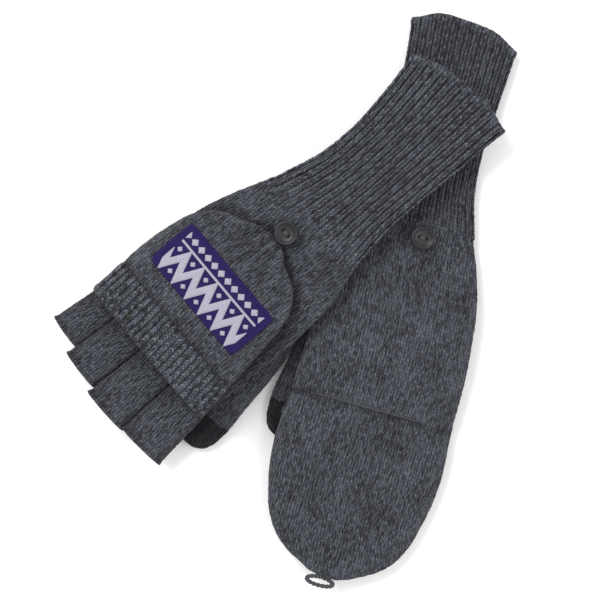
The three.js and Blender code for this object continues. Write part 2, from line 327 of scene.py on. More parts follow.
# %% Charcoal and black knit
def knit_material(name, wale, course, dark, light, relief):
    material, tree, shader = new_material(name, 0.95)
    yarn = tree.nodes.new("ShaderNodeUVMap")
    yarn.uv_map = "yarn"
    place = yarn.outputs[0]
    stitch = place_group(tree, stitch_group, Place=place, Wale_Width=wale, Course_Height=course)
    height = stitch.outputs["Height"]
    dice = stitch.outputs["Stitch Random"]
    heather = place_group(tree, heather_group, Place=place, Stitch_Random=dice, Height=height)
    plug(tree, heather.inputs["Hollow"], painted_shade_of(tree))
    plug(tree, heather.inputs["Dark"], dark)
    plug(tree, heather.inputs["Light"], light)
    tree.links.new(heather.outputs["Color"], shader.inputs["Base Color"])
    fuzz = calc(tree, "MULTIPLY_ADD", noise(tree, place, 3.5, 3.0), 0.5, height)
    bump(tree, shader, fuzz, 1.0, relief)
    shader.inputs["Sheen Weight"].default_value = 0.08
    shader.inputs["Sheen Roughness"].default_value = 0.5
    shader.inputs["Specular IOR Level"].default_value = 0.12
    return material


WALE, COURSE = 1.62, 1.95
charcoal_knit = knit_material(
    "charcoal_knit", WALE, COURSE, (0.011, 0.011, 0.013, 1), (0.337, 0.358, 0.425, 1), 0.0008
)
black_knit = knit_material(
    "black_touch_knit", 1.6, 1.2, (0.006, 0.006, 0.008, 1), (0.055, 0.055, 0.065, 1), 0.0005
)
print("knit materials:", charcoal_knit.name, black_knit.name)

# %% [markdown]
# ## The mitten's own axes
#
# Each mitten is drawn in its own frame: x towards the thumb, y towards the wrist and z up, in
# millimetres from the middle of the hood's hinge line. The hinge joint gives the place and the
# direction of x; the mitten's lengthwise slope gives the rest.

# %% Mitten frames
THUMB_THICK = 7.8


class Mitten:
    def __init__(self, side, slope, mirrored):
        self.side = side
        self.mirrored = mirrored
        hinge = joints[side + "_hood_flip"]
        self.origin = np.array(hinge["pos_m"])
        axis = np.array(hinge["axis"], dtype=float)
        axis /= np.linalg.norm(axis)
        self.x = -axis if mirrored else axis
        # The hinge's axis leans sideways by the mitten's roll; taking that out leaves its heading.
        tilt = self.x[2] / math.cos(slope)
        flat = math.sqrt(1 - tilt * tilt)
        sign = -1 if mirrored else 1
        turn = math.atan2(self.x[1], self.x[0]) - math.atan2(-math.sin(slope) * tilt, sign * flat)
        self.level_x = sign * np.array([math.cos(turn), math.sin(turn), 0])
        self.level_y = np.array([-math.sin(turn), math.cos(turn), 0])
        self.y = math.cos(slope) * self.level_y + math.sin(slope) * np.array([0, 0, 1])
        self.z = np.cross(self.x, self.y) * sign

    def place(self, points):
        """From the mitten's own millimetres to the frame's metres."""
        x, y, z = points[..., :1], points[..., 1:2], points[..., 2:]
        return self.origin + MM * (x * self.x + y * self.y + z * self.z)

    def place_level(self, points):
        """The same for a thumb, which lies level on the table under the sloping hand."""
        base = np.array([self.origin[0], self.origin[1], THUMB_THICK / 2 * MM])
        up = np.array([0, 0, 1.0])
        x, y, z = points[..., :1], points[..., 1:2], points[..., 2:]
        return base + MM * (x * self.level_x + y * self.level_y + z * up)


right = Mitten("right", math.radians(6.1), False)
left = Mitten("left", math.radians(2.5), True)
print("right mitten y axis", right.y.round(3), "left mitten y axis", left.y.round(3))


# %% [markdown]
# ## The pattern
#
# A knitted tube lying flat is a squared-off ellipse whose width and height change along its length.
# The same few widths that shape the CAD solids shape the knit, joined by smooth curves. All sizes are
# millimetres in the mitten's own frame, at stations counted from the knuckles towards the wrist.

# %% Smooth curves
def through(*stations):
    """A smooth curve through pairs of a place and a value."""
    places = np.array([s[0] for s in stations], dtype=float)
    values = np.array([s[1] for s in stations], dtype=float)
    if len(places) > 2:
        slopes = np.gradient(values, places)
    else:
        slopes = np.full(2, np.diff(values) / np.diff(places))
    slopes[0] = (values[1] - values[0]) / (places[1] - places[0])
    slopes[-1] = (values[-1] - values[-2]) / (places[-1] - places[-2])

    def curve(at):
        at = np.asarray(at, dtype=float)
        i = np.clip(np.searchsorted(places, at, side="right") - 1, 0, len(places) - 2)
        span = places[i + 1] - places[i]
        t = np.clip((at - places[i]) / span, 0, 1)
        return (
            (2 * t**3 - 3 * t**2 + 1) * values[i]
            + (t**3 - 2 * t**2 + t) * span * slopes[i]
            + (3 * t**2 - 2 * t**3) * values[i + 1]
            + (t**3 - t**2) * span * slopes[i + 1]
        )

    return curve


def smoothstep(at, low, high):
    """From 0 at low to 1 at high, level at both ends."""
    t = np.clip((np.asarray(at, dtype=float) - low) / (high - low), 0, 1)
    return t * t * (3 - 2 * t)


print("halfway up a smooth step:", float(smoothstep(0.5, 0, 1)))

# %% Hand and cuff widths
HAND_MIDDLE = -5.8
HAND_THICK = 8.2
CUFF_START = 101
hand_low = through(
    (-4, -42.6), (0, -43), (25, -43), (47, -41), (65, -38.5), (85, -33), (101, -27), (128, -20.5)
)
hand_high = through((-4, 42.6), (0, 43), (25, 43), (47, 44), (65, 43.5), (85, 41), (101, 35.5), (128, 31))
# Each cuff drapes in its own way: where its mouth is, its edges, how far it sags, and where it lies level.
right.mouth, right.slant, right.roll = 205, 5, math.radians(3.1)
right.cuff_low = through((101, -27), (128, -20.5), (150, -21), (175, -24.5), (205, -31))
right.cuff_high = through((101, 35.5), (128, 31), (150, 30.5), (175, 30.5), (205, 31))
right.sag = through((85, 0), (101, -1), (125, -4.6), (150, -10.4), (175, -15.6), (205, -18.9))
right.level = through((85, 0), (110, 0.25), (150, 0.9), (170, 1), (205, 1))
left.mouth, left.slant, left.roll = 207.5, 1.2, math.radians(4.4)
left.cuff_low = through((101, -28), (121, -22), (143, -20), (176, -21), (207.5, -22.6))
left.cuff_high = through((101, 35.5), (128, 31.5), (150, 31), (176, 32), (207.5, 36))
left.sag = through((45, 0), (60, -1.4), (80, -6), (101, -10.3), (115, -11.2), (160, -13.2), (207.5, -15.3))
left.level = through((45, 0), (60, 0.15), (85, 0.75), (101, 1), (207.5, 1))
print("width at the knuckles", float(hand_high(0) - hand_low(0)), "mm")

# %% Hood widths
closed_half = through(
    (0, 43.3), (12, 44.3), (35, 44), (50, 41.5), (65, 37), (74, 31), (80, 24), (84.5, 15.5), (88, 7), (89, 1)
)
folded_half = through(
    (0, 42.6), (31, 40.5), (47, 38.5), (58, 36.3), (65, 33), (72, 26), (78, 13), (81.5, 4), (82.3, 1)
)
right.folded, left.folded = True, False
# The folded hood leans this far towards the little finger.
HOOD_LEAN = 2.3


def folded_middle(y):
    return -HOOD_LEAN * np.clip(y / 30, 0, 1)


print("closed hood is", 2 * float(closed_half(12)), "mm wide")


# %% [markdown]
# ## A tube of knit
#
# Each piece is a fine grid laid over its tube: columns run along the piece, equally spaced round it,
# and rows go round it. A modelled box with subdivision would be rounder than flat-lying knit, so the
# section is a squared-off ellipse worked out at every millimetre.

# %% Tube grids
class Tube:
    """Rows of points at closely spaced stations, from functions of the place along the tube."""

    def __init__(
        self, start, end, columns, middle, height, half, thick, roll=None, slant=None, square=2.4, turn=None
    ):
        self.stations = np.linspace(start, end, max(8, int(abs(end - start) / 1.0)))
        self.fraction = np.arange(columns) / columns
        angle = np.linspace(0, 2 * math.pi, 1441)
        s, c = np.sin(angle), np.cos(angle)
        rows, spans = [], []
        for at in self.stations:
            a, b = float(half(at)), float(thick(at)) / 2
            across = np.sign(s) * np.abs(s) ** (2 / square) * a
            up = np.sign(c) * np.abs(c) ** (2 / square) * b
            # Equal steps round the tube, so every column is the same strip of knit.
            steps = np.hypot(np.diff(across), np.diff(up))
            run = np.concatenate([[0], np.cumsum(steps)])
            across = np.interp(self.fraction * run[-1], run, across)
            up = np.interp(self.fraction * run[-1], run, up)
            tilt = float(roll(at)) if roll else 0.0
            x = across * math.cos(tilt) + up * math.sin(tilt)
            z = up * math.cos(tilt) - across * math.sin(tilt)
            y = (float(slant(at)) if slant else 0.0) * across / max(a, 1e-6)
            if turn:
                way = float(turn(at))
                x, y = x * math.cos(way) - y * math.sin(way), x * math.sin(way) + y * math.cos(way)
            rows.append(np.stack([x + float(middle(at)), y + at, z + float(height(at))], axis=-1))
            spans.append(run[-1])
        self.points = np.array(rows)
        self.spans = np.array(spans)
        self.find_directions(np.sign(end - start))

    def find_directions(self, sign):
        """The surface's normal and its lengthwise direction at every point."""
        round_way = np.roll(self.points, -1, axis=1) - np.roll(self.points, 1, axis=1)
        along_way = np.gradient(self.points, axis=0) * sign
        normal = np.cross(along_way, round_way)
        length = np.linalg.norm(normal, axis=-1, keepdims=True)
        self.normals = normal / np.maximum(length, 1e-9)
        length = np.linalg.norm(along_way, axis=-1, keepdims=True)
        self.along = along_way / np.maximum(length, 1e-9)
        outward = np.sum(self.normals * (self.points - self.points.mean(axis=1, keepdims=True)))
        if outward < 0:
            self.normals = -self.normals

    def sample(self, grid, y):
        """The grid's values at a place y along the tube for every column; y is rows by columns."""
        stations, values = self.stations, grid
        if stations[0] > stations[-1]:
            stations, values = stations[::-1], values[::-1]
        i = np.clip(np.searchsorted(stations, y) - 1, 0, len(stations) - 2)
        t = np.clip((y - stations[i]) / (stations[i + 1] - stations[i]), 0, 1)
        column = np.arange(y.shape[1])[None, :].repeat(y.shape[0], axis=0)
        if values.ndim == 1:
            return values[i] * (1 - t) + values[i + 1] * t
        return values[i, column] * (1 - t[..., None]) + values[i + 1, column] * t[..., None]


round_tube = Tube(0, 10, 8, middle=lambda y: 0, height=lambda y: 0, half=lambda y: 5, thick=lambda y: 10)
print("a trial tube 10 mm across is", round(float(round_tube.spans[0]), 1), "mm round")

# %% [markdown]
# ## From grid to knit
#
# Points are pushed out along the surface to make ribs, gathers and soft unevenness. The open edge turns
# over in a small roll, as the edge of plain knit does, and an inner layer gives the knit its thickness.

# %% Fluff
FLUFF = 0.1


def fluff(shape, seed):
    """Unevenness a stitch wide, which breaks up the outline as standing fibres do."""
    dice = np.random.default_rng(seed)
    grid = dice.normal(0, 1, shape)
    for _ in range(4):
        grid = (grid + np.roll(grid, 1, axis=1) + np.roll(grid, -1, axis=1)) / 3
    return FLUFF * grid / grid.std()


print("fluff stands about", FLUFF, "mm high, at most", round(float(fluff((50, 50), 1).max()), 2))


# %% Shells
INNER_ROWS = 26
RIM_TURNS = 7
INSIDE_SHADE = 0.45
OFF_TABLE = 0.2


def knit_piece(
    name, tube, y, lift, wall, material, mitten, painted_shade=0.0, closed_tip=False, level=False
):
    """A shell: outer rows, a rolled edge, inner rows, and a second rolled edge or a closed tip."""
    wall = np.broadcast_to(wall, y.shape)
    lift = lift + fluff(y.shape, len(name))
    painted_shade = np.broadcast_to(painted_shade, y.shape)
    outer = tube.sample(tube.points, y) + tube.sample(tube.normals, y) * lift[..., None]
    # The inner layer is hardly seen, so it has fewer rows.
    picked = np.unique(np.linspace(1 if closed_tip else 0, len(y) - 1, INNER_ROWS).astype(int))[::-1]
    sunk = tube.sample(tube.normals, y[picked]) * wall[picked, :, None]
    inner = tube.sample(tube.points, y[picked]) - sunk

    def rim(end, sign):
        """Half a turn from the outer layer to the inner one, round the edge of the knit."""
        row = y[end][None]
        normal = tube.sample(tube.normals, row)[0]
        along = tube.sample(tube.along, row)[0] * sign
        radius = ((lift[end] + wall[end]) / 2)[:, None]
        middle = tube.sample(tube.points, row)[0] + normal * (lift[end][:, None] - radius)
        turns = np.linspace(0, math.pi, RIM_TURNS)[1:-1]
        return np.array([middle + radius * (math.cos(a) * normal + math.sin(a) * along) for a in turns])

    far_rim = rim(-1, 1)
    points = [outer, far_rim, inner]
    places = [y, np.repeat(y[-1:], len(far_rim), axis=0), y[picked]]
    inside = np.full((len(picked), y.shape[1]), INSIDE_SHADE)
    depths = [painted_shade, np.repeat(painted_shade[-1:], len(far_rim), axis=0), inside]
    if not closed_tip:
        near_rim = rim(0, -1)[::-1]
        points.append(near_rim)
        places.append(np.repeat(y[:1], len(near_rim), axis=0))
        depths.append(np.repeat(painted_shade[:1], len(near_rim), axis=0))
    points, places, depths = (np.concatenate(part) for part in (points, places, depths))
    world = (mitten.place_level if level else mitten.place)(points)
    # Knit that would sink into the table flattens against it.
    world[..., 2] = np.maximum(world[..., 2], OFF_TABLE * MM)
    return loft(name, world, places, depths, tube, material, looped=not closed_tip)


print("each shell has", INNER_ROWS, "inner rows")


# %% Faces and the knit's place
# The underside's wales are numbered from here, so its UVs don't repeat those of the top.
BACK_WALES = 186
# Places are counted from here, which keeps the lengthwise UVs above zero.
UV_START = 400


def loft(name, world, places, depths, tube, material, looped):
    """Quads between neighbouring rows and columns, with the knit's place in millimetres as UVs."""
    rows, columns = world.shape[:2]
    last = rows if looped else rows - 1
    r, c = np.meshgrid(np.arange(last), np.arange(columns), indexing="ij")
    r2, c2 = (r + 1) % rows, (c + 1) % columns
    quads = np.stack([r * columns + c, r * columns + c2, r2 * columns + c2, r2 * columns + c], axis=-1)
    # Wales run straight down the middle of each face, so widths are measured from there.
    spans = tube.sample(tube.spans, places)
    spans = np.concatenate([spans, spans[:, :1]], axis=1)
    fraction = np.concatenate([tube.fraction, [1.0]])
    lengthwise = np.concatenate([places, places[:, :1]], axis=1)
    on_top = (c < columns // 4) | (c >= 3 * columns // 4)
    middle = np.where(on_top, np.where(c < columns // 2, 0.0, 1.0), 0.5)

    def corner(row, column):
        u = (fraction[column] - middle) * spans[row, column] + np.where(on_top, 0.0, BACK_WALES * WALE)
        return np.stack([u, lengthwise[row, column] + UV_START], axis=-1)

    uv = np.stack([corner(r, c), corner(r, c + 1), corner(r2, c + 1), corner(r2, c)], axis=-2)
    faces, uv = quads.reshape(-1, 4).tolist(), uv.reshape(-1, 2).tolist()
    vertices = world.reshape(-1, 3)
    depths = depths.reshape(-1)
    # A closed tip ends in a fan of triangles round a middle point, outside and inside.
    hubs = () if looped else ((0, 1), ((rows - 1) * columns, -1))
    for first, step in hubs:
        hub = len(vertices)
        vertices = np.concatenate([vertices, vertices[first : first + columns].mean(axis=0)[None]])
        depths = np.concatenate([depths, depths[first : first + 1]])
        for k in range(columns):
            faces.append([first + k, hub, first + (k + step) % columns])
            uv.extend([uv[4 * k]] * 3)
    return build_mesh(name, vertices, faces, uv, depths, material)


print("the underside starts", round(BACK_WALES * WALE), "mm away in the UV map")


# %% Mesh building
def build_mesh(name, vertices, faces, uv, depths, material):
    mesh = bpy.data.meshes.new(name)
    mesh.from_pydata(vertices.tolist(), [], faces)
    layer = mesh.uv_layers.new(name="yarn")
    layer.data.foreach_set("uv", np.array(uv, dtype=np.float32).ravel())
    # Each point's painted shade, which darkens the yarn's colour in the heather group.
    painted_shade = mesh.attributes.new("painted_shade", "FLOAT", "POINT")
    painted_shade.data.foreach_set("value", np.array(depths, dtype=np.float32))
    shaped = bmesh.new()
    shaped.from_mesh(mesh)
    bmesh.ops.recalc_face_normals(shaped, faces=shaped.faces)
    shaped.to_mesh(mesh)
    shaped.free()
    mesh.shade_smooth()
    mesh.materials.append(material)
    piece = bpy.data.objects.new(name, mesh)
    bpy.context.scene.collection.objects.link(piece)
    return piece


def padded_sheet(rows, columns):
    """Faces of a grid, of the same grid behind it, and of the edge that joins the two."""
    r, c = np.meshgrid(np.arange(rows - 1), np.arange(columns - 1), indexing="ij")
    corner = r * columns + c
    front = np.stack([corner, corner + 1, corner + columns + 1, corner + columns], axis=-1).reshape(-1, 4)
    rim = list(range(columns))
    rim += [k * columns + columns - 1 for k in range(1, rows)]
    rim += [(rows - 1) * columns + k for k in range(columns - 2, -1, -1)]
    rim += [k * columns for k in range(rows - 2, 0, -1)]
    rim = np.array(rim)
    after = np.roll(rim, -1)
    behind = rows * columns
    edge = np.stack([after, rim, rim + behind, after + behind], axis=-1)
    return np.concatenate([front, front[:, ::-1] + behind, edge])


def fit(piece, body, *nodes):
    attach(piece, body)
    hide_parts(*nodes)
    print(piece.name, len(piece.data.polygons), "faces, on", body)


print("a padded sheet of 3 by 4 points has", len(padded_sheet(3, 4)), "faces")


# %% [markdown]
# ## Ribs and unevenness
#
# A rib is rounded on top with a narrow, deep valley, where the purl stitches sink back. Knit that lies
# flat is never perfectly even, so a few slow waves with seeded phases lift and lower the surface by
# less than a millimetre.

# %% Relief functions
RIBS = 30
BAND_RIBS = 54


def ribs(fraction, depth, parting=0.0, count=RIBS):
    """Rounded ribs with deep valleys, and a shallow parting between the two wales of each rib."""
    wave = np.abs(np.sin(math.pi * count * fraction))
    half_wave = np.abs(np.sin(2 * math.pi * count * fraction))
    return depth * (wave**0.75 - 0.62) + parting * (half_wave**0.75 - 0.62)


def valleys(fraction, parting=0.0, count=RIBS):
    """1 in the valleys between ribs, fading to 0 up their sides."""
    deep = 1 - smoothstep(np.abs(np.sin(math.pi * count * fraction)), 0.0, 0.68)
    shallow = 1 - smoothstep(np.abs(np.sin(2 * math.pi * count * fraction)), 0.0, 0.7)
    return np.maximum(deep, parting * shallow)


def waves(fraction, y, size, seed):
    """Nine slow waves added up, each with its own seeded pace and start."""
    dice = np.random.default_rng(seed)
    total = np.zeros(np.broadcast(fraction, y).shape)
    for _ in range(9):
        turns = dice.integers(1, 7)
        rate = dice.uniform(0.02, 0.16)
        phase = dice.uniform(0, 2 * math.pi, 2)
        total += np.sin(2 * math.pi * turns * fraction + phase[0]) * np.sin(rate * y + phase[1])
    return size * total / 3


def rows_between(start, end, step, columns):
    count = max(4, int(abs(end - start) / step) + 1)
    return np.linspace(start, end, count)[:, None].repeat(columns, axis=1)


print("ribs round a cuff:", RIBS, "ribs round a band, if it went all round:", BAND_RIBS)


# %% [markdown]
# ## Cuffs
#
# The ribbed cuff is the longest piece. Ribs are modelled, not only bumped, because they make the
# outline of the mouth. They die out in the cast-on edge, which rolls over softly.

# %% Cuffs
KNIT = 1.3
RIB_KNIT = 1.8
COLUMNS = RIBS * 14
right.corner, left.corner = 4.8, 6.5
# The upper cuff is stretched, so its ribs stand apart; the lower one's have closed up.
right.rib_depth, right.rib_shade, right.parting, right.closed_up = 1.7, 1.1, 0.25, 0.0
left.rib_depth, left.rib_shade, left.parting, left.closed_up = 0.9, 0.75, 0.65, 0.22


def make_cuff(mitten):
    tube = Tube(
        CUFF_START - 1, mitten.mouth, COLUMNS,
        middle=lambda y: (mitten.cuff_low(y) + mitten.cuff_high(y)) / 2,
        height=lambda y: HAND_MIDDLE + mitten.sag(y),
        half=lambda y: (mitten.cuff_high(y) - mitten.cuff_low(y)) / 2 - 0.3,
        thick=lambda y: 9.0,
        roll=lambda y: mitten.roll * mitten.level(y),
        slant=lambda y: smoothstep(y, 150, mitten.mouth) * mitten.slant,
    )
    # Each rib is two wales wide, so the stitches keep in step with the ribs.
    tube.spans[:] = 2 * RIBS * WALE
    # The mouth's corners are rounded, so its sides stop short of its middle.
    side_on = np.abs(np.sin(2 * math.pi * tube.fraction)) ** 6
    start, end = CUFF_START - 0.6, mitten.mouth - 0.6 - mitten.corner * side_on
    y = start + (end - start)[None] * np.linspace(0, 1, 106)[:, None]
    around = tube.fraction[None]
    grown = 0.5 + 0.5 * smoothstep(y, CUFF_START, CUFF_START + 14)
    edge = smoothstep(end - y, 3.6, 1.2)
    lift = ribs(around, mitten.rib_depth, 0.35) * grown * (1 - 0.85 * edge) + 0.6 * edge
    lift = lift + waves(around, y, 0.28, 3 + mitten.mirrored)
    # Towards the mouth the ribs stand further apart, so more shade is painted in their valleys.
    spread = 0.65 + 0.35 * smoothstep(y, 135, 180)
    # The lower cuff also gets painted shade over all of it but its rolled edge, for its closed-up ribs.
    painted_shade = mitten.rib_shade * valleys(around, mitten.parting) * grown * spread + mitten.closed_up
    # Painted highlight: the rolled edge is made lighter than the knit beside it.
    painted_shade = painted_shade * (1 - edge) - 0.2 * edge
    return knit_piece(mitten.side + "_cuff_knit", tube, y, lift, RIB_KNIT, charcoal_knit, mitten, painted_shade)


for mitten in (left, right):
    fit(make_cuff(mitten), mitten.side + "_mitten", mitten.side + "_cuff")

# %% [markdown]
# ## Hands
#
# The hand is plain knit. The cuff's ribs reach about a centimetre into it and fade. The mesh stores
# how hollow each point is, and the yarn's shade group darkens it there, as real wool shades itself.

# %% Hands
HOOD_SHADOW_WIDTH = 6


def broken(fraction):
    """Uneven painted shade along a seam's groove, from 0.2 to 1."""
    return 0.6 + 0.4 * np.sin(2 * math.pi * 23 * fraction) * np.sin(2 * math.pi * 9 * fraction + 1)


def hand_tube(mitten, columns):
    return Tube(
        1, CUFF_START + 1, columns,
        middle=lambda y: (hand_low(y) + hand_high(y)) / 2,
        height=lambda y: HAND_MIDDLE + mitten.sag(y),
        half=lambda y: (hand_high(y) - hand_low(y)) / 2 - 0.2,
        thick=lambda y: HAND_THICK + 0.8 * smoothstep(y, 85, 101),
        roll=lambda y: mitten.roll * mitten.level(y),
    )


def hood_shadow(mitten, spots):
    """Painted shadow of the folded hood on the hand: 1 right beside the hood, 0 a few millimetres away from
    it or under the hand.
    """
    edge_y = np.linspace(8, 84, 77)
    edges = [np.stack([turn * folded_half(edge_y) - HOOD_LEAN, edge_y], axis=-1) for turn in (-1, 1)]
    off = np.full(spots.shape[:2], 99.0)
    for edge in np.concatenate(edges):
        off = np.minimum(off, np.hypot(spots[..., 0] - edge[0], spots[..., 1] - edge[1]))
    return (spots[..., 2] > HAND_MIDDLE) * smoothstep(off, HOOD_SHADOW_WIDTH, 0)


def make_hand(mitten):
    tube = hand_tube(mitten, COLUMNS)
    y = rows_between(0.7, CUFF_START + 0.2, 1.0, COLUMNS)
    around = tube.fraction[None]
    fade = smoothstep(y, CUFF_START - 12, CUFF_START)
    lift = ribs(around, 0.5 * mitten.rib_depth, 0.2) * fade + waves(around, y, 0.3, 11 + mitten.mirrored)
    painted_shade = 0.5 * mitten.rib_shade * valleys(around, mitten.parting) * fade
    # A shallow groove runs along the knuckle seam, with uneven painted shade in it.
    along_seam = smoothstep(y, 3.2, 1.0)
    lift = lift - 0.3 * along_seam
    painted_shade = painted_shade + 0.7 * along_seam * broken(around)
    # Painted shadow darkens the hand beside the folded hood's edge.
    if mitten.folded:
        painted_shade = np.clip(painted_shade + 0.7 * hood_shadow(mitten, tube.sample(tube.points, y)), 0, 1)
    return knit_piece(mitten.side + "_hand_knit", tube, y, lift, KNIT, charcoal_knit, mitten, painted_shade)


for mitten in (left, right):
    fit(make_hand(mitten), mitten.side + "_mitten", mitten.side + "_hand")

# %% [markdown]
# ## Half fingers
#
# Each half finger is a short tube with a cast-off edge that rolls outwards. They are turned a little
# on their length, so that each one's edge lies over the next.

# %% Half fingers
# Low and high edge at the knuckles, middle of the open end, its half width, and the thickness.
FINGERS = {
    "little_finger": (-42.6, -24.5, -37, -34, 9.6, 6.6),
    "ring_finger": (-24.5, -4, -17, -40.7, 11.4, 7.4),
    "middle_finger": (-4, 18.5, 7.5, -44.5, 13.2, 7.6),
    "index_finger": (18.5, 42.6, 33.5, -42, 13.2, 7),
}
left.spread, left.finger_roll = 0.8, math.radians(1.5)
right.spread, right.finger_roll = 1.0, math.radians(7)
FINGER_COLUMNS = 112
HOOD_TOP = -0.35
HOOD_THICK = 11.8


def make_finger(mitten, name, low, high, end_x, end_y, end_half, thick):
    narrow = 0.7 + 0.3 * mitten.spread
    base = (low + high) / 2 * narrow
    reach = end_x * mitten.spread - base
    heading = math.atan2(reach, -end_y)
    half = (high - low) / 2 * narrow - 0.2
    # Only the open mitten's fingers have room to spread until they meet.
    wider = end_half - half if mitten.folded else -1.0

    def share(y):
        return float(np.clip((1 - y) / (1 - end_y), 0, 1))

    tube = Tube(
        1, end_y, FINGER_COLUMNS,
        middle=lambda y: base + reach * share(y),
        height=lambda y: HOOD_TOP - HOOD_THICK / 2,
        half=lambda y: half + wider * share(y),
        thick=lambda y: thick,
        roll=lambda y: mitten.finger_roll * min(1, 2 * share(y)),
        turn=lambda y: heading * min(1, 2 * share(y)),
        square=2.1,
    )
    y = rows_between(0.6, end_y + 0.6, 0.7, FINGER_COLUMNS)
    edge = smoothstep(y, end_y + 3.4, end_y + 0.8)
    around = tube.fraction[None]
    # The cast-off row is a chain, one bead to each wale.
    beads = np.abs(np.sin(math.pi * 22 * around)) * smoothstep(y, end_y + 1.8, end_y + 0.7)
    lift = 0.35 * edge + 0.25 * beads + waves(around, y, 0.12, 31 + len(name))
    # Painted shade darkens a strip just behind the rolled cast-off edge.
    painted_shade = 0.5 * smoothstep(y, end_y + 3.8, end_y + 2.6) * smoothstep(y, end_y + 1.4, end_y + 2.6)
    # Painted shade darkens it where it goes under the band and where it lies against the next finger.
    painted_shade = painted_shade + 0.65 * smoothstep(y, -12, -5.5)
    painted_shade = painted_shade + 0.5 * smoothstep(np.abs(np.sin(2 * math.pi * around)), 0.85, 1.0)
    painted_shade = np.clip(painted_shade, 0, 1)
    return knit_piece(f"{mitten.side}_{name}_knit", tube, y, lift, 1.1, charcoal_knit, mitten, painted_shade)


# The open fingers would draw together as the right hood closes over them; here they get meshes of their own.
for mitten in (left, right):
    for name, sizes in FINGERS.items():
        finger = make_finger(mitten, name, *sizes)
        fit(finger, mitten.side + "_mitten", f"{mitten.side}_{name}")
        if mitten.folded:
            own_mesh(finger)

# %% [markdown]
# ## Thumbs
#
# The thumb lies on the table under the palm. Its root rises into the palm, and its tip is a second,
# black yarn that a touch screen can feel.

# %% Thumbs
THUMB_TIP = 18
THUMB_COLUMNS = 128
# Where each thumb's middle line starts and ends.
left.thumb = ((31.5, 50), (43, -26))
right.thumb = ((35, 46), (49, -22))


def thumb_tube(mitten):
    (x0, y0), (x1, y1) = mitten.thumb
    length = math.hypot(x1 - x0, y1 - y0)
    heading = math.atan2(x1 - x0, y0 - y1)
    full = THUMB_THICK - 2 * OFF_TABLE
    half = through(
        (-16, 7), (-8, 11), (0, 12.4), (40, 12.2),
        (length - 14, 11.6), (length - 6, 9.4), (length - 1.5, 5.8), (length, 2.4),
    )
    thick = through((-16, 2.4), (-8, 4.6), (0, full), (length - 12, full), (length - 4, 6), (length, 2.6))
    into_palm = through((-16, 6.4), (-8, 3.4), (0, 0), (10, 0), (length, 0))
    tube = Tube(
        -16, 90, THUMB_COLUMNS, middle=lambda d: 0, height=into_palm, half=half, thick=thick, square=2.2
    )
    # The tube is made along y, then laid along the thumb's own line on the table.
    for grid in (tube.points, tube.normals, tube.along):
        across, along = grid[..., 0].copy(), grid[..., 1].copy()
        grid[..., 0] = across * math.cos(heading) + along * (x1 - x0) / length
        grid[..., 1] = across * math.sin(heading) + along * (y1 - y0) / length
    tube.points[..., :2] += (x0, y0)
    return tube, length


for mitten in (left, right):
    side = mitten.side
    tube, length = thumb_tube(mitten)
    around = tube.fraction[None]
    y = rows_between(-15.5, length - THUMB_TIP + 0.2, 0.9, THUMB_COLUMNS)
    lift = waves(around, y, 0.15, 41)
    thumb = knit_piece(side + "_thumb_knit", tube, y, lift, KNIT, charcoal_knit, mitten, level=True)
    fit(thumb, side + "_mitten", side + "_thumb")
    y = rows_between(length - 0.1, length - THUMB_TIP, 0.7, THUMB_COLUMNS)
    lift = waves(around, y, 0.12, 42)
    tip = knit_piece(
        side + "_thumb_tip_knit", tube, y, lift, KNIT, black_knit, mitten, closed_tip=True, level=True
    )
    fit(tip, side + "_mitten", side + "_thumb_tip")

# %% [markdown]
# ## Hoods
#
# The hood is a pouch. Its back layer is sewn across the knuckles and its palm layer ends in a ribbed
# band, so the band shows only where the hood is folded back. Folded, the hood is the same pouch
# turned over about the hinge, drawn to a point where the loop pulls on it.

# %% Hood shape
left.hood = dict(sign=-1, half=closed_half, tip=88, square=3.1)
right.hood = dict(sign=1, half=folded_half, tip=81.5, square=2.8)
# The palm layer ends under the band, and the back layer reaches just over the knuckle seam.
TUCK = 14
SEAM = 1.0
# The band covers the palm layer from here to a little past the knuckles.
BAND_EDGE = 16.5
PALM_REACH = 5
HOOD_COLUMNS = 352


def hood_tube(mitten, columns, end, extra=0.0):
    hood = mitten.hood
    sign, tip, half = hood["sign"], hood["tip"], hood["half"]
    thick = through(
        (-8, HOOD_THICK), (0, HOOD_THICK), (48, HOOD_THICK), (64, 9.5), (74, 6.4), (tip, 3.4), (tip + 1, 2)
    )

    def closed_middle(y):
        return -2 * (np.abs(y) / tip) ** 2

    return Tube(
        sign * (tip + 0.6), sign * end, columns,
        middle=folded_middle if sign > 0 else closed_middle,
        height=lambda y: sign * (-HOOD_TOP + thick(sign * y) / 2),
        half=lambda y: float(half(max(float(sign * y), 0))) + extra,
        thick=lambda y: thick(sign * y) + 2 * extra,
        square=hood["square"],
    )


def palm_distance(mitten, fraction):
    """How far round each column is from the middle of the palm layer, from 0 to a half."""
    palm = 0.0 if mitten.folded else 0.5
    return np.abs((fraction - palm + 0.5) % 1 - 0.5)


print("a hood is", HOOD_THICK, "mm thick over the fingers")


# %% Hoods
def fan_folds(tube, y):
    """Folds that run from the loop, which draws the folded hood's tip together: their height, and the
    painted shade in the valleys between them.
    """
    x = tube.sample(tube.points, y)[..., 0]
    pull = smoothstep(y, 46, 78)
    fan = np.sin(np.arctan2(x + 1, 92 - y) * 15)
    narrow = smoothstep(np.abs(x), 30, 14)
    return 0.75 * pull * fan * narrow, 0.45 * pull * narrow * np.clip(-fan, 0, 1)


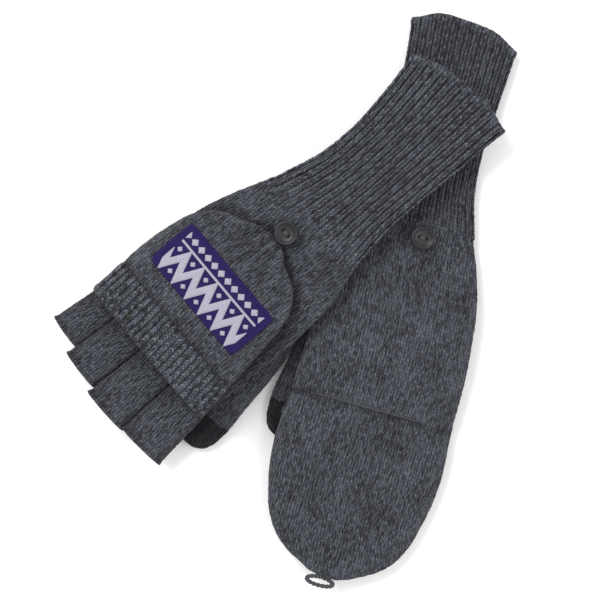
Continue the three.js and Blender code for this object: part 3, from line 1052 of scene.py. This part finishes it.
def make_hood(mitten):
    sign, tip = mitten.hood["sign"], mitten.hood["tip"]
    tube = hood_tube(mitten, HOOD_COLUMNS, -2)
    away = palm_distance(mitten, tube.fraction)
    seam_side = smoothstep(away, 0.235, 0.262)
    mouth = sign * (TUCK - (TUCK + SEAM) * seam_side)
    share = np.linspace(0, 1, 92)[:, None] ** 0.9
    y = sign * (tip + 0.4) * (1 - share) + mouth[None] * share
    around = tube.fraction[None]
    lift = waves(around, y, 0.3, 51 + mitten.mirrored)
    wall = KNIT * np.ones_like(y)
    near_band = smoothstep(sign * y, BAND_EDGE + 4.5, BAND_EDGE - 1.5) * (1 - seam_side)
    lift -= 1.0 * near_band
    wall -= 0.6 * near_band
    # Painted shade where the hood dips in under the band.
    painted_shade = 0.6 * near_band
    if mitten.folded:
        folds, between = fan_folds(tube, y)
        lift += folds
        # Painted shade in the valleys between the folds.
        painted_shade = painted_shade + between
    # The back layer thins towards the knuckle seam, so the closed hood runs level into the hand.
    into_seam = smoothstep(sign * y, 13, -SEAM) * seam_side
    along_seam = smoothstep(sign * y, 2.6, 0.2) * seam_side
    lift = lift * (1 - into_seam) - 1.0 * into_seam - 0.15 * along_seam
    # Uneven painted shade lies in the groove along the knuckle seam.
    painted_shade = painted_shade + 0.7 * along_seam * broken(around)
    return knit_piece(
        mitten.side + "_hood_knit", tube, y, lift, wall, charcoal_knit, mitten, painted_shade, closed_tip=True
    )


for mitten in (left, right):
    fit(make_hood(mitten), mitten.side + "_hood", mitten.side + "_hood")

# %% [markdown]
# ## Bands
#
# The hood's palm layer ends in a ribbed band, which keeps its mouth snug. It is half a ring, so it is
# a padded strip: a puffed front, a back layer behind it, and an edge that joins them.

# %% Bands
def make_band(mitten):
    sign = mitten.hood["sign"]
    columns = BAND_RIBS * 14
    tube = hood_tube(mitten, columns, -PALM_REACH - 1, 0.5)
    tube.spans[:] = BAND_RIBS * WALE
    rows = 28
    y = (sign * np.linspace(BAND_EDGE, -PALM_REACH, rows))[:, None].repeat(columns, axis=1)
    around = tube.fraction[None]
    across = np.linspace(-1, 1, rows)[:, None]
    puff = np.sqrt(np.clip(1 - np.abs(across) ** 4, 0, 1))
    # The ribs die out in a plain rolled hem on the finger side.
    hem = smoothstep(across, 0.5, 0.75)
    rib_here = puff * (1 - 0.85 * hem)
    # Gathered ribs never run quite straight, so their lines wander.
    wander = around + waves(around, y, 0.0045, 62)
    lift = ribs(wander, 0.9, count=BAND_RIBS) * rib_here + 1.4 * puff - 0.9 + 0.25 * hem * puff
    lift = lift + waves(around, y, 0.35, 61)
    outer = tube.sample(tube.points, y) + tube.sample(tube.normals, y) * lift[..., None]
    inner = tube.sample(tube.points, y) - tube.sample(tube.normals, y) * 1.2
    # Painted shade: a little over all of the band, more in its rib valleys, and most along its two edges.
    edges = 0.55 * smoothstep(np.abs(across), 0.8, 1.0)
    depth = np.clip(0.14 + 0.5 * valleys(wander, count=BAND_RIBS) * rib_here + edges, 0, 1)
    middle = 0 if sign > 0 else columns // 2
    reach = int(columns * 0.24)
    keep = (np.arange(-reach, reach + 1) + middle) % columns
    outer, inner, y, depth = outer[:, keep], inner[:, keep], y[:, keep], depth[:, keep]
    wide = len(keep)
    quads = padded_sheet(rows, wide)
    span = tube.sample(tube.spans, y)
    step = (np.arange(wide) - reach)[None] / columns * span
    place = np.stack([step, y + UV_START], axis=-1).reshape(-1, 2)
    uv = np.concatenate([place, place])[quads].reshape(-1, 2)
    world = mitten.place(np.concatenate([outer, inner])).reshape(-1, 3)
    depths = np.concatenate([depth, depth]).ravel()
    return build_mesh(mitten.side + "_band_rib", world, quads.tolist(), uv, depths, charcoal_knit)


for mitten in (left, right):
    fit(make_band(mitten), mitten.side + "_hood", mitten.side + "_hood_band")

# %% [markdown]
# ## Yarn and thread as strands
#
# Loops, seam stitches and button threads are too thick to be paint. Each is a bundle of plies wound
# round one path, swept as small tubes, so the twist is real and catches the light from every side.

# %% Sweeping strands along a path
ALMOST_UP = [0.05, 0.02, 1.0]


def sideways(path):
    """Two directions across a path at each of its points: one level, one over the first."""
    ahead = np.gradient(path, axis=0)
    ahead /= np.maximum(np.linalg.norm(ahead, axis=1, keepdims=True), 1e-9)
    flat = np.cross(ahead, ALMOST_UP)
    flat /= np.maximum(np.linalg.norm(flat, axis=1, keepdims=True), 1e-9)
    return flat, np.cross(flat, ahead)


def sweep(path, radius, sides=8):
    """Rings of points round a path, with both ends drawn to a point."""
    flat, over = sideways(path)
    size = np.full(len(path), float(radius))
    size[0] = size[-1] = radius * 0.25
    turn = np.arange(sides) / sides * 2 * math.pi
    around = np.cos(turn)[None, :, None] * flat[:, None] + np.sin(turn)[None, :, None] * over[:, None]
    return path[:, None] + around * size[:, None, None]


def plies(path, count, radius, offset, twist):
    """The paths of plies wound round a path, with twist turns from end to end."""
    share = np.linspace(0, 1, len(path))
    flat, over = sideways(path)
    wound = []
    for k in range(count):
        way = 2 * math.pi * (twist * share + k / count)
        beside = np.cos(way)[:, None] * flat + np.sin(way)[:, None] * over
        wound.append((path + offset * beside, radius))
    return wound


straight = np.linspace((0, 0, 0), (0, 10, 0), 5)
print("a ply swept round five points has", sweep(straight, 1).shape[:2], "rings and sides")


# %% Strands as one mesh
def strand_piece(name, strands, place, material):
    vertices, faces, uv = [], [], []
    for path, radius in strands:
        rings = sweep(path, radius)
        rows, sides = rings.shape[:2]
        base = len(vertices)
        vertices.extend(place(rings).reshape(-1, 3))
        run = np.concatenate([[0], np.cumsum(np.linalg.norm(np.diff(path, axis=0), axis=1))])
        for r in range(rows - 1):
            near, far = base + r * sides, base + (r + 1) * sides
            for c in range(sides):
                d = (c + 1) % sides
                u = c / 4
                faces.append([near + c, near + d, far + d, far + c])
                uv.extend([(u, run[r]), (u + 0.25, run[r]), (u + 0.25, run[r + 1]), (u, run[r + 1])])
        # Both ends are capped, so that each strand is a closed body.
        faces.append([base + c for c in range(sides)])
        uv.extend([(c / 4, 0) for c in range(sides)])
        faces.append([base + (rows - 1) * sides + c for c in range(sides)][::-1])
        uv.extend([(c / 4, run[-1]) for c in range(sides)])
    vertices = np.array(vertices)
    return build_mesh(name, vertices, faces, uv, np.zeros(len(vertices)), material)


print("strands become one mesh in strand_piece")


# %% Yarn and thread materials
def strand_material(name, dark, light, roughness, fibre):
    """Fibres run along the strand at a slant, so the shade is stretched that way."""
    material, tree, shader = new_material(name, roughness)
    yarn = tree.nodes.new("ShaderNodeUVMap")
    yarn.uv_map = "yarn"
    slanted = tree.nodes.new("ShaderNodeMapping")
    slanted.inputs["Rotation"].default_value = (0, 0, 0.5)
    slanted.inputs["Scale"].default_value = (fibre, 1, 1)
    tree.links.new(yarn.outputs[0], slanted.inputs["Vector"])
    shade = noise(tree, slanted.outputs[0], 1.6, 3.0)
    tree.links.new(blend_colour(tree, shade, dark, light), shader.inputs["Base Color"])
    bump(tree, shader, shade, 0.7, 0.0002)
    shader.inputs["Sheen Weight"].default_value = 0.1
    shader.inputs["Specular IOR Level"].default_value = 0.2
    return material


yarn_cord = strand_material("yarn_loop", (0.005, 0.005, 0.006, 1), (0.11, 0.115, 0.13, 1), 0.9, 5)
sewing_thread = strand_material("sewing_thread", (0.02, 0.02, 0.022, 1), (0.09, 0.09, 0.1, 1), 0.6, 8)
print("strand materials:", yarn_cord.name, sewing_thread.name)

# %% [markdown]
# ## Hood loops
#
# A two-ply loop is sewn into each hood's tip. On the closed hood it hangs flat and wide; on the
# folded hood it is round the button's shank, under the button.

# %% Hood loops
LOOP_CORD = 2.4
right.loop = dict(x=0, y=87.6, z=2.1, wide=3.4, long=3.4)
left.loop = dict(x=1.5, y=-91.4, z=-2.05, wide=7, long=2.2)
for mitten in (left, right):
    at = mitten.loop
    way = np.linspace(0, 2 * math.pi, 97)
    x = at["x"] + at["wide"] * np.sin(way)
    y = at["y"] + at["long"] * np.cos(way)
    z = at["z"] - 0.25 * np.cos(2 * way)
    path = np.stack([x, y, z], axis=-1)
    cord = plies(path, 2, LOOP_CORD * 0.27, LOOP_CORD * 0.23, round(at["wide"] * 1.3))
    loop = strand_piece(mitten.side + "_yarn_loop", cord, mitten.place, yarn_cord)
    fit(loop, mitten.side + "_loop", mitten.side + "_hood_loop")

# %% [markdown]
# ## Knuckle seam
#
# The hood's back layer is joined to the hand by short slanted stitches of the same yarn. They sink
# into the knit, so the seam reads as a faint broken line.

# %% Knuckle seam
SEAM_COLUMNS, SEAM_END, SEAM_PLACE = 360, 62, 2.1
STITCH_HALF, STITCH_RADIUS = 1.1, 0.34
for mitten in (left, right):
    tube = hand_tube(mitten, SEAM_COLUMNS)
    y = np.full((1, SEAM_COLUMNS), SEAM_PLACE)
    line = tube.sample(tube.points, y)[0]
    stitches = []
    dice = np.random.default_rng(71)
    for column in range(-SEAM_END, SEAM_END + 1, 3):
        spot = line[column + int(dice.integers(0, 2))]
        across = np.linspace(-STITCH_HALF, STITCH_HALF, 7)
        slant = dice.uniform(0.25, 0.5)
        hump = 0.12 * (1 - (across / STITCH_HALF) ** 2) - dice.uniform(0.1, 0.45)
        stitch = spot + np.stack([across, across * slant, hump], axis=-1)
        stitches.append((stitch, STITCH_RADIUS))
    seam = strand_piece(mitten.side + "_knuckle_seam", stitches, mitten.place, yarn_cord)
    fit(seam, mitten.side + "_mitten", mitten.side + "_hood_seam")

# %% [markdown]
# ## Buttons
#
# A small dark moulded button has a raised rim, a dished middle and two holes. The profile is turned
# round its axis; round each hole the surface is pressed down, which keeps one clean closed mesh.

# %% Button plastic
button_plastic, tree, shader = new_material("button_plastic", 0.42)
cloudy = tree.nodes.new("ShaderNodeTexCoord").outputs["Object"]
mottle = noise(tree, cloudy, 900, 3.0)
shade = blend_colour(tree, mottle, (0.006, 0.0065, 0.008, 1), (0.017, 0.018, 0.021, 1))
tree.links.new(shade, shader.inputs["Base Color"])
wear = calc(tree, "MULTIPLY_ADD", noise(tree, cloudy, 2500, 2.0), 0.25, 0.3)
tree.links.new(wear, shader.inputs["Roughness"])
bump(tree, shader, mottle, 0.15, 0.0001)
shader.inputs["Specular IOR Level"].default_value = 0.35
print("plastic:", button_plastic.name)

# %% Button shape
BUTTON_RADIUS, DISH_RADIUS, CENTRE_RADIUS = 6.3, 3.2, 0.12
BUTTON_TOP = through(
    (0, 1.65), (DISH_RADIUS, 1.65), (4.2, 1.95), (4.9, 2.45), (5.4, 2.6), (5.9, 2.35), (BUTTON_RADIUS, 1.5)
)
HOLE_PLACE, HOLE_RADIUS, HOLE_DEPTH = 1.7, 0.85, 1.5


def button_mesh(name, place):
    turns = 120
    in_dish = np.linspace(CENTRE_RADIUS, DISH_RADIUS, 30)
    radii = np.concatenate([in_dish, np.linspace(DISH_RADIUS + 0.15, BUTTON_RADIUS, 26)])
    way = np.arange(turns) / turns * 2 * math.pi
    x, y = radii[:, None] * np.sin(way), radii[:, None] * np.cos(way)
    z = BUTTON_TOP(np.hypot(x, y))
    for side in (-1, 1):
        off = np.hypot(x - HOLE_PLACE * side, y)
        z = z - HOLE_DEPTH * smoothstep(off, HOLE_RADIUS + 0.12, HOLE_RADIUS - 0.12)
    top = np.stack([x, y, z], axis=-1)
    under = [(BUTTON_RADIUS, 1.3), (6.1, 0.8), (5.6, 0.3), (4.7, 0.0), (2.5, 0.0), (CENTRE_RADIUS, 0.0)]
    below = [np.stack([r * np.sin(way), r * np.cos(way), np.full(turns, h)], axis=-1) for r, h in under]
    rings = np.concatenate([top, np.array(below)])
    rows = len(rings)
    vertices = place(rings).reshape(-1, 3)
    faces = []
    for r in range(rows - 1):
        for c in range(turns):
            d = (c + 1) % turns
            faces.append([r * turns + c, r * turns + d, (r + 1) * turns + d, (r + 1) * turns + c])
    faces.append(list(range(turns)))
    faces.append([(rows - 1) * turns + c for c in range(turns)][::-1])
    flat = rings.reshape(-1, 3)[:, :2]
    uv = [flat[k] for face in faces for k in face]
    return build_mesh(name, vertices, faces, uv, np.zeros(len(vertices)), button_plastic)


# %% Buttons and their threads
BUTTON_SEAT = 5.8
right.button_y, left.button_y = 88.3, 93.5
HAND_TOP = HAND_MIDDLE + HAND_THICK / 2


def button_thread():
    """Three lanes of thread between the holes, and a shank of the same thread down to the knit."""
    strands = []
    share = np.linspace(-1, 1, 13)
    for lane in (-0.45, 0, 0.45):
        arch = 2.05 - 1.2 * np.abs(share) ** 3
        path = np.stack([HOLE_PLACE * share, lane * (1 - 0.4 * np.abs(share)), arch], axis=-1)
        strands.append((path, 0.27))
    drop = np.linspace(-0.4, -BUTTON_SEAT, 90)
    way = np.linspace(0, 18 * math.pi, 90)
    wound = np.stack([0.8 * np.cos(way), 0.8 * np.sin(way), drop], axis=-1)
    strands.append((wound, 0.3))
    core = np.stack([0 * drop, 0 * drop, drop], axis=-1)[::9]
    strands.append((core, 0.7))
    return strands


for mitten in (left, right):
    seat = np.array([0, mitten.button_y, HAND_TOP + mitten.sag(mitten.button_y) + BUTTON_SEAT + 0.35])

    def on_seat(points):
        return mitten.place(points + seat)

    button = button_mesh(mitten.side + "_sewn_button", on_seat)
    fit(button, mitten.side + "_mitten", mitten.side + "_button")
    thread = strand_piece(mitten.side + "_shank_thread", button_thread(), on_seat, sewing_thread)
    fit(thread, mitten.side + "_mitten", mitten.side + "_button_thread")

# %% [markdown]
# ## Embroidered patch
#
# A twill patch is sewn on the folded hood. Its motif is a plain zigzag of off-white satin stitch with
# small diamonds and a rule. The motif is raised in the mesh, as thread laid over thread is, and the
# patch is draped on the hood, so it follows the curve.

# %% The motif
PATCH_HALF_WIDTH, PATCH_HALF_HEIGHT, PATCH_CORNER = 32, 14, 3
ZIGZAG_STEP, ZIGZAG_RISE, ZIGZAG_HALF, ZIGZAG_PLACE = 10.2, 5.4, 1.75, -4.6
MOTIF_HALF_WIDTH = 2.75 * ZIGZAG_STEP
RULE_PLACE, RULE_HALF = 4.6, 0.6
DIAMOND_PLACE, DIAMOND_STEP, DIAMOND_HALF = 8.7, 5.1, 2.1
SMALL_DIAMOND_HALF = 1.5


def bar(distance, half):
    """A rounded ridge of satin stitch: 1 in its middle, 0 at its edge."""
    return np.sqrt(np.clip(1 - (distance / half) ** 2, 0, 1))


def motif(u, v):
    """Height of the off-white stitching, from 0 to 1, at each place on the patch."""
    from_middle = v - ZIGZAG_PLACE
    zigzag = ZIGZAG_RISE * (4 * np.abs((u / ZIGZAG_STEP) % 1 - 0.5) - 1)
    lean = math.cos(math.atan2(4 * ZIGZAG_RISE, ZIGZAG_STEP))
    shape = bar((from_middle - zigzag) * lean, ZIGZAG_HALF)
    # A small diamond sits in each bend of the zigzag, clear of the rule.
    for shift, height in ((0.0, -ZIGZAG_RISE), (0.5, ZIGZAG_RISE)):
        beside = np.abs((u / ZIGZAG_STEP - shift + 0.5) % 1 - 0.5) * ZIGZAG_STEP
        diamond = bar(beside + np.abs(from_middle - height), SMALL_DIAMOND_HALF)
        shape = np.maximum(shape, diamond * (v < RULE_PLACE - 2))
    beside = np.abs((u / DIAMOND_STEP) % 1 - 0.5) * DIAMOND_STEP
    shape = np.maximum(shape, bar(beside + np.abs(v - DIAMOND_PLACE), DIAMOND_HALF))
    shape = shape * (np.abs(u) < MOTIF_HALF_WIDTH)
    rule = bar(v - RULE_PLACE, RULE_HALF) * (np.abs(u) < MOTIF_HALF_WIDTH)
    return np.maximum(shape, rule)


print("the motif's rule is", 2 * MOTIF_HALF_WIDTH, "mm long")

# %% The patch laid flat
PATCH_COLUMNS, PATCH_ROWS = 240, 110
BORDER_HALF, SATIN_HEIGHT, BORDER_HEIGHT = 0.85, 0.55, 0.35
u = np.linspace(-1, 1, PATCH_COLUMNS)[None] * PATCH_HALF_WIDTH * np.ones((PATCH_ROWS, 1))
v = np.linspace(-1, 1, PATCH_ROWS)[:, None] * PATCH_HALF_HEIGHT * np.ones((1, PATCH_COLUMNS))
# Near its corners the rectangle is drawn in to a round.
inner_u, inner_v = PATCH_HALF_WIDTH - PATCH_CORNER, PATCH_HALF_HEIGHT - PATCH_CORNER
over_u, over_v = np.maximum(np.abs(u) - inner_u, 0), np.maximum(np.abs(v) - inner_v, 0)
square_reach, round_reach = np.maximum(over_u, over_v), np.hypot(over_u, over_v)
draw = np.where(round_reach > 0, square_reach / np.maximum(round_reach, 1e-6), 1)
u = np.sign(u) * (np.minimum(np.abs(u), inner_u) + over_u * draw)
v = np.sign(v) * (np.minimum(np.abs(v), inner_v) + over_v * draw)
satin = motif(u, v)
to_edge = PATCH_CORNER - np.hypot(np.maximum(np.abs(u) - inner_u, 0), np.maximum(np.abs(v) - inner_v, 0))
to_edge = np.minimum(to_edge, np.minimum(PATCH_HALF_WIDTH - np.abs(u), PATCH_HALF_HEIGHT - np.abs(v)))
border = bar(to_edge - BORDER_HALF, BORDER_HALF)
stitched = SATIN_HEIGHT * satin + BORDER_HEIGHT * border * (satin == 0)
print("raised stitching covers", round(float((satin > 0).mean()), 2), "of the patch")

# %% The patch draped on the hood
PATCH_MIDDLE, PATCH_THICK, PATCH_GAP = (-2.5, 42.5), 0.7, 0.3
x, y = u + PATCH_MIDDLE[0], v + PATCH_MIDDLE[1]
thick = through((-8, HOOD_THICK), (48, HOOD_THICK), (64, 9.5), (74, 6.4))(y)
square = right.hood["square"]
crown = np.clip(1 - np.abs((x - folded_middle(y)) / folded_half(y)) ** square, 0, 1) ** (1 / square)
back_height = -HOOD_TOP + thick / 2 + thick / 2 * crown + PATCH_GAP
front = np.stack([x, y, back_height + PATCH_THICK + stitched], axis=-1)
back = np.stack([x, y, back_height], axis=-1)
quads = padded_sheet(PATCH_ROWS, PATCH_COLUMNS)
flat = np.stack([u, v], axis=-1).reshape(-1, 2)
patch_uv = np.concatenate([flat, flat])[quads].reshape(-1, 2)
world_points = right.place(np.concatenate([front, back])).reshape(-1, 3)
print("the patch has", len(quads), "faces")

# %% [markdown]
# ## Twill and satin
#
# The ground is indigo twill, whose fine diagonal lines catch the light. The motif is off-white satin
# stitch, whose threads lie side by side across it. The mesh says which points are satin.

# %% Where the satin is
emblem_twill, tree, shader = new_material("emblem_twill", 0.6)
place = tree.nodes.new("ShaderNodeUVMap")
place.uv_map = "yarn"
split = tree.nodes.new("ShaderNodeSeparateXYZ")
tree.links.new(place.outputs[0], split.inputs[0])
white_part = tree.nodes.new("ShaderNodeAttribute")
white_part.attribute_name = "satin"
is_white = calc(tree, "MULTIPLY", calc(tree, "SUBTRACT", white_part.outputs["Fac"], 0.02), 8.0)
is_white = calc(tree, "MINIMUM", calc(tree, "MAXIMUM", is_white, 0.0), 1.0)
print("patch material:", emblem_twill.name)

# %% Twill and satin lines
diagonal = calc(tree, "MULTIPLY", calc(tree, "ADD", split.outputs["X"], split.outputs["Y"]), 9.0)
twill_line = calc(tree, "MULTIPLY_ADD", calc(tree, "SINE", diagonal), 0.5, 0.5)
threads = calc(tree, "SINE", calc(tree, "MULTIPLY", split.outputs["X"], 15.0))
satin_line = calc(tree, "MULTIPLY_ADD", threads, 0.5, 0.5)
fleck = noise(tree, place.outputs[0], 2.5, 3.0)
# The twill lines are two tones of indigo: partly the weave's own colour, partly painted shade and highlight
# along its ridges, which are also bumped.
indigo = blend_colour(tree, twill_line, (0.005, 0.002, 0.03, 1), (0.02, 0.008, 0.095, 1))
# The satin's white is darker between its threads, painted shade, and also varies by fleck, its own tone.
white_shade = calc(tree, "MULTIPLY", calc(tree, "MULTIPLY_ADD", satin_line, 0.5, 0.5), fleck)
white_shade = calc(tree, "MULTIPLY", white_shade, 1.9)
white = blend_colour(tree, white_shade, (0.11, 0.1, 0.17, 1), (0.43, 0.41, 0.48, 1))
tree.links.new(blend_colour(tree, is_white, indigo, white), shader.inputs["Base Color"])
lines = tree.nodes.new("ShaderNodeMix")
plug(tree, lines.inputs["Factor"], is_white)
plug(tree, lines.inputs["A"], twill_line)
plug(tree, lines.inputs["B"], satin_line)
bump(tree, shader, lines.outputs["Result"], 0.6, 0.0002)
shader.inputs["Specular IOR Level"].default_value = 0.15
print("the patch's nodes:", len(tree.nodes))

# %% Sew the patch on
patch = build_mesh(
    "right_patch", world_points, quads.tolist(), patch_uv, np.zeros(len(world_points)), emblem_twill
)
layer = patch.data.attributes.new("satin", "FLOAT", "POINT")
layer.data.foreach_set("value", np.concatenate([satin, satin * 0]).ravel().astype(np.float32))
fit(patch, "right_hood", "right_emblem")

# %% [markdown]
# ## Sizes
#
# The frame's own box and the finished pair's box are printed side by side.

# %% Write the sizes and finish
sizes = {"cad": [list(c) for c in cad_box], "visual": [list(c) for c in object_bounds()]}
print("sizes:", sizes)
